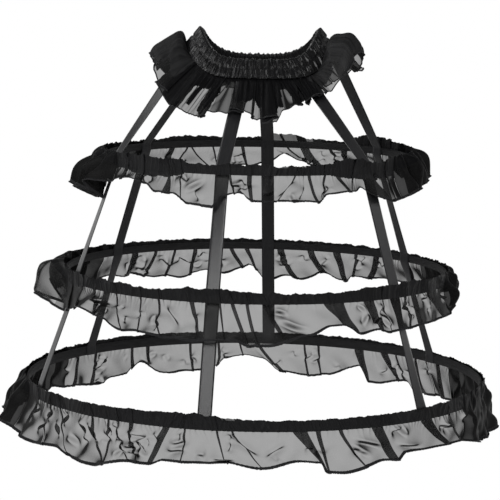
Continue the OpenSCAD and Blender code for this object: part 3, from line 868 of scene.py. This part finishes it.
# How far below the seam the gathers hide what is behind
FRILL_DENSE = {-70: 70, -68: 34, -62: 34, -60: 70, -46: 70, -44: 22, -41.5: 22, -40.5: 60, -39: 60,
               -38: 20, -33: 20, -31: 54, -28: 54, -26: 8, -16: 8, -14: 44, -8: 44, -6.5: 36, -4: 38,
               -2: 44, 0.5: 46, 2: 64, 8.5: 64, 10: 52, 12.8: 50, 13.6: 18, 18.5: 18, 20: 60, 40: 60,
               43: 26, 47: 26, 60: 30, 95: 16, 120: 12, 180: 12, 232: 14, 240: 40, 286: 60}
FRILL_DOUBLE = [(-26.5, -15.5), (13, 20)]   # turns where two layers lie together
FRILL_GATHER = 9.0     # spacing of the gathers at the seam
PUFF_CREST = (15, 40)  # further length of a crest in the left and right puffs
PUFF_TURN = (-90, 57)  # turn of the middle of each puff
PUFF_HALF = (36, 25)   # turn from there to its ends
PUFF_EDGE = (16, 12)   # and the part of that over which it rises
# Direction of a puff's crest at the seam, and its bends: by how much, from and over what share of the length
LEFT_CREST = (168, [(114, 0.21, 0.16), (40, 0.8, 0.2)])
RIGHT_CREST = (172, [(75, 0.3, 0.18), (62, 0.62, 0.18), (45, 0.84, 0.14)])


def puffed(turn):
    """How far a turn lies in one of the puffs, from 0 to 1."""
    away = np.abs(turn_from(by_side(turn, *PUFF_TURN), turn))
    return smooth((by_side(turn, *PUFF_HALF) - away) / by_side(turn, *PUFF_EDGE))


def crest_path(share, start, bends):
    """Direction of a puff's crest at a share of its length."""
    direction = start
    for bend, first, over in bends:
        direction = direction - bend * smooth((share - first) / over)
    return direction


def frill_path(turn, share, fin):
    """Direction of the frill from straight down, in degrees: it stands up in a puff at each side."""
    crest = by_side(turn, crest_path(share, *LEFT_CREST), crest_path(share, *RIGHT_CREST))
    valley = 66 - 22 * share
    return FRILL_LEAN + (valley + (crest - valley) * np.sqrt(np.clip(fin, 0, 1)) - FRILL_LEAN) * puffed(turn)


def waist_frill():
    """Organza caught in the waistband's seam, flared at the front and puffed at the sides."""
    columns = pleated_columns(FRILL_PLEATS, FRILL_FOLDS, BAND_SEAM_R, BAND_SEAM_R + FRILL_FLARE, FRILL_SEED)
    top, hem, layer, shown, fin, bow, _, inner = columns
    further = by_side(top, *PUFF_CREST) * np.clip(fin, 0, 1) ** 1.5 * puffed(top)
    length = round_ring(shown, FRILL_HEM) + further
    share = np.linspace(0, 1, FRILL_ROWS)[:, None]
    turn = top + (hem - top) * share + bow * np.sin(math.pi * share)
    direction = np.radians(frill_path(turn, share, fin))
    step = length / (FRILL_ROWS - 1)
    foot_r, foot_z = band_profile(turn[0], *FRILL_FOOT)
    run_r = np.cumsum(np.sin(direction) * step, axis=0) - np.sin(direction) * step
    run_z = -np.cumsum(np.cos(direction) * step, axis=0) + np.cos(direction) * step
    gap = 0.4 + 1.8 * share
    wave = 2.5 + 2.5 * ripple(turn, 16, FRILL_SEED + 1) + 1.2 * ripple(turn, 40, FRILL_SEED + 2)
    wave = wave * share ** 1.2
    drift = turn + 5 * share * ripple(top, 12, FRILL_SEED + 5)
    gather = ripple(drift, 2 * math.pi * BAND_SEAM_R / FRILL_GATHER, FRILL_SEED + 6)
    wave = wave + 2.0 * np.maximum(gather, -0.2) * smooth(share * 9) * (1.1 - 0.7 * share)
    wave = wave + 0.9 * ripple(drift, 150, FRILL_SEED + 8) * smooth(share * 6)
    out = layer * gap + wave
    r = foot_r + run_r + out * np.cos(direction)
    z = foot_z + run_z + out * np.sin(direction)
    inner_r, inner_z = band_profile(turn[0], *FRILL_EDGE)
    r = np.concatenate([inner_r[None], r])
    z = np.concatenate([inner_z[None], z])
    turn = np.concatenate([turn[:1], turn])
    points = polar(turn, r, z)
    points = np.concatenate([points, rolled_hem(points)])
    cloths, which = frill_cloths(top, fin, inner, length, len(points) - 1)
    return mesh_piece("waist_frill_cloth", "waist_frill", points, cloths, which)


def frill_cloths(top, fin, inner, length, faces):
    """The cloths of the frill, and for each face the place of its own in their list."""
    cloths = [ORGANZA, HEM, SHADED_GATHERS, PRESSED, PUFFED]
    place = cloths.index
    rows = np.arange(faces)[:, None]
    puff = puffed(top)
    folded = within(top, FRILL_FOLDS) & (puff > 0.3) & ((fin > 0.35) | (rows < 0.55 * FRILL_ROWS))
    dense = (round_ring(top, FRILL_DENSE) + 3 * ripple(top, 60, FRILL_SEED + 7)) / length * FRILL_ROWS
    which = np.where(within(top, FRILL_DOUBLE), place(PRESSED), place(ORGANZA))
    # Closed gathers outside the puffs take the darker organza, whose colours are painted shade.
    closed = np.where(puff > 0.5, place(PUFFED), place(SHADED_GATHERS))
    which = np.where(folded | (rows < dense) | (inner > 0.5), closed, which)
    return cloths, np.where(rows >= faces - len(HEM_TURNS) - 1, place(HEM), which)


# Ribbon tapes

TAPE_W = 18.0
TAPE_T = 0.6
TAPE_CLEAR = 0.7       # from a casing to the middle of a tape
TAPE_SEWN = (4.5, -0.5)     # heights on the waistband between which a tape is sewn
TAPE_INSIDE = -0.2          # and its place in the band's thickness, out from the middle
TAPE_ROW_STEP = 4.0
TAPE_ACROSS = np.linspace(-1, 1, 9)
# Name: turns at the waist and at the three hoops, and the twist in each of its three spans, in degrees
TAPES = {
    "left_tape": ((-77, -68, -68, -68), (-30, 8, 0)),
    "front_tape": ((-13, -13, -12.4, -11.7), (0, 12, 0)),
    "front_right_tape": ((38, 44, 44, 44), (22, 4, -20)),
    "back_right_tape": ((98, 124, 124, 124), (-35, 12, 14)),
    "back_tape": ((176, 176, 176, 176), (0, 0, 0)),
    "back_left_tape": ((231, 231, 231, 231), (0, 0, -12)),
}


def tape_stations(turns):
    """Places (turn, radius, height) where a tape is sewn, from the waist seam to the lowest casing."""
    found = []
    for up in TAPE_SEWN:
        r, z = band_profile(turns[0], up, TAPE_INSIDE)
        found.append((turns[0], r, float(z)))
    for tier, turn in zip(TIERS, turns[1:]):
        r = tier.r - 2 * CASING_HALF_T - TAPE_CLEAR
        found += [(turn, r, tier.z_top), (turn, r, tier.z_bottom)]
    return np.array(found)


def tape(name, turns, twists):
    """A satin ribbon with its two faces, sewn flat to each casing and free between them."""
    stations = tape_stations(turns)
    centres = polar(stations[:, 0], stations[:, 1], stations[:, 2])
    lines, twist_at = [], []
    for k in range(len(centres) - 1):
        span = np.linalg.norm(centres[k + 1] - centres[k]) / MM
        f = np.arange(0, 1, TAPE_ROW_STEP / span)[:, None]
        free = k % 2 == 1
        lines.append(centres[k] + (centres[k + 1] - centres[k]) * f)
        swing = smooth(f[:, 0] / 0.2) * (1 - f[:, 0]) ** 0.7
        twist_at += list((twists[k // 2] if free else 0) * swing)
    line = np.concatenate(lines + [centres[-1:]])
    twist = np.radians(np.array(twist_at + [0.0]))
    along = unit_length(np.gradient(line, axis=0))
    a = np.arctan2(line[:, 0], -line[:, 1])
    across = np.stack([np.cos(a), np.sin(a), np.zeros_like(a)], axis=1)
    across = unit_length(across - along * np.sum(across * along, axis=1, keepdims=True))
    face = np.cross(across, along)
    outward = np.stack([np.sin(a), -np.cos(a), np.zeros_like(a)], axis=1)
    face *= np.sign(np.sum(face * outward, axis=1, keepdims=True))
    wide = np.cos(twist)[:, None] * across + np.sin(twist)[:, None] * face
    out = np.cos(twist)[:, None] * face - np.sin(twist)[:, None] * across
    section = [(x, 0.5) for x in TAPE_ACROSS] + [(x, -0.5) for x in TAPE_ACROSS[::-1]]
    back = np.arange(len(section))[None] >= len(TAPE_ACROSS)
    points = np.stack([line + (wide * x * TAPE_W / 2 + out * y * TAPE_T * (1 - 0.5 * x ** 8)) * MM
                       for x, y in section], axis=1)
    down = np.cumsum(np.linalg.norm(np.diff(line, axis=0, prepend=line[:1]), axis=1))
    side = np.array([x for x, _ in section]) * TAPE_W / 2 * MM
    uv = np.stack(np.broadcast_arrays(side[None], down[:, None]), axis=-1)
    mesh_piece(name.replace("_tape", "_ribbon"), name, points, [RIBBON, RIBBON_BACK], back, uv)


# Scene

FLOOR_SIDES = 96
FLOOR_GREY = 0.92
FLOOR_FADE = (1.2, 2.0)     # distances, in metres, between which the floor turns white
FILL_LIGHT = 0.28
LAMP_AIM = (0, 0, -0.2)
LAMP_DISTANCE = 3.0
CLEAR_LAYERS = 48           # sheer layers that a ray may cross


def make_camera():
    """The photograph's view."""
    pitch, roll = math.radians(CAMERA_PITCH), math.radians(CAMERA_ROLL)
    forward = Vector((0, math.cos(pitch), -math.sin(pitch)))
    level_up = Vector((0, math.sin(pitch), math.cos(pitch)))
    level_right = Vector((1, 0, 0))
    up = level_up * math.cos(roll) - level_right * math.sin(roll)
    right = level_right * math.cos(roll) + level_up * math.sin(roll)
    camera = new_object("camera", bpy.data.cameras.new("camera"))
    camera.data.lens = CAMERA_LENS
    camera.data.sensor_width = CAMERA_SENSOR
    camera.data.clip_end = 2 * FLOOR_R * MM
    turned = Matrix((right, up, -forward)).transposed().to_4x4()
    camera.matrix_world = Matrix.Translation(Vector(CAMERA_AT) * MM) @ turned
    bpy.context.scene.camera = camera


def make_world():
    """A plain fill light."""
    world = bpy.data.worlds.new("studio")
    world.use_nodes = True
    put(world.node_tree.nodes["Background"], {"Color": (1, 1, 1, 1), "Strength": FILL_LIGHT})
    bpy.context.scene.world = world


def seen_as_background(tree):
    """A factor that is 1 for rays that show the background, and 0 for rays that light the object."""
    path = add(tree, "ShaderNodeLightPath")
    seen = calc(tree, "MAXIMUM", path.outputs["Is Camera Ray"], path.outputs["Is Glossy Ray"])
    return calc(tree, "MAXIMUM", seen, path.outputs["Is Transmission Ray"])


def show_white(tree, factor, shader):
    """Shows plain white in place of a shader, by a factor."""
    white = add(tree, "ShaderNodeEmission", {"Strength": 1.0})
    mix = add(tree, "ShaderNodeMixShader")
    tree.links.new(factor, mix.inputs["Fac"])
    tree.links.new(shader.outputs[0], mix.inputs[1])
    tree.links.new(white.outputs[0], mix.inputs[2])
    tree.links.new(mix.outputs[0], tree.nodes["Material Output"].inputs["Surface"])


def stage_piece(name, heights, faces, material):
    """A piece of the stage, from rings of points at some heights."""
    turns = np.linspace(0, 360, FLOOR_SIDES, endpoint=False)
    points = np.concatenate([polar(turns, FLOOR_R, z) for z in heights])
    mesh = bpy.data.meshes.new(name)
    mesh.from_pydata(points.tolist(), [], faces)
    mesh.materials.append(material)
    new_object(name, mesh)


def make_backdrop():
    """A white ring at the horizon, which shows as background and lets the fill light through."""
    material, tree, shader = new_material("backdrop_white")
    show_white(tree, seen_as_background(tree), add(tree, "ShaderNodeBsdfTransparent"))
    tree.nodes.remove(shader)
    n = FLOOR_SIDES
    faces = [(i, (i + 1) % n, n + (i + 1) % n, n + i) for i in range(n)]
    stage_piece("backdrop", (FLOOR_Z, BACKDROP_Z), faces, material)


def make_floor():
    """A pale floor that keeps the shadow under the object and fades to white farther away."""
    material, tree, shader = new_material("floor_white")
    put(shader, {"Base Color": (*[FLOOR_GREY] * 3, 1), "Roughness": 0.9, "Specular IOR Level": 0.0})
    where = add(tree, "ShaderNodeTexCoord")
    distance = add(tree, "ShaderNodeVectorMath", operation="LENGTH")
    tree.links.new(where.outputs["Object"], distance.inputs[0])
    far = add(tree, "ShaderNodeMapRange", dict(zip(("From Min", "From Max"), FLOOR_FADE)),
              interpolation_type="SMOOTHSTEP")
    tree.links.new(distance.outputs["Value"], far.inputs["Value"])
    show_white(tree, calc(tree, "MULTIPLY", seen_as_background(tree), far.outputs["Result"]), shader)
    stage_piece("floor", (FLOOR_Z,), [list(range(FLOOR_SIDES))], material)


def softbox(name, azimuth, elevation, size, power):
    """A square lamp that looks at the middle of the cage."""
    a, e = math.radians(azimuth), math.radians(elevation)
    way = Vector((math.sin(a) * math.cos(e), -math.cos(a) * math.cos(e), math.sin(e)))
    lamp = bpy.data.lights.new(name, "AREA")
    lamp.shape = "SQUARE"
    lamp.size = size
    lamp.energy = power
    lit = new_object(name, lamp)
    lit.location = Vector(LAMP_AIM) + way * LAMP_DISTANCE
    lit.rotation_euler = (-way).to_track_quat("-Z", "Y").to_euler()


for cad_name, cad_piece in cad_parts.items():
    inner = JOINER if "joiner" in cad_name else BONING if cad_name.endswith("_hoop") else ELASTIC
    cad_piece.data.materials.clear()
    cad_piece.data.materials.append(inner)

band = waistband()
frill = waist_frill()
for tier in TIERS:
    sleeve = casing(tier)
    cloth = ruffle(tier)
for tape_name, (tape_turns, tape_twists) in TAPES.items():
    tape(tape_name, tape_turns, tape_twists)

make_camera()
make_world()
make_floor()
make_backdrop()
softbox("key", azimuth=-22, elevation=34, size=1.6, power=72)
softbox("right", azimuth=82, elevation=32, size=1.5, power=14)
softbox("left", azimuth=-100, elevation=42, size=1.5, power=22)
bpy.context.scene.view_settings.view_transform = "Standard"
bpy.context.scene.cycles.transparent_max_bounces = CLEAR_LAYERS
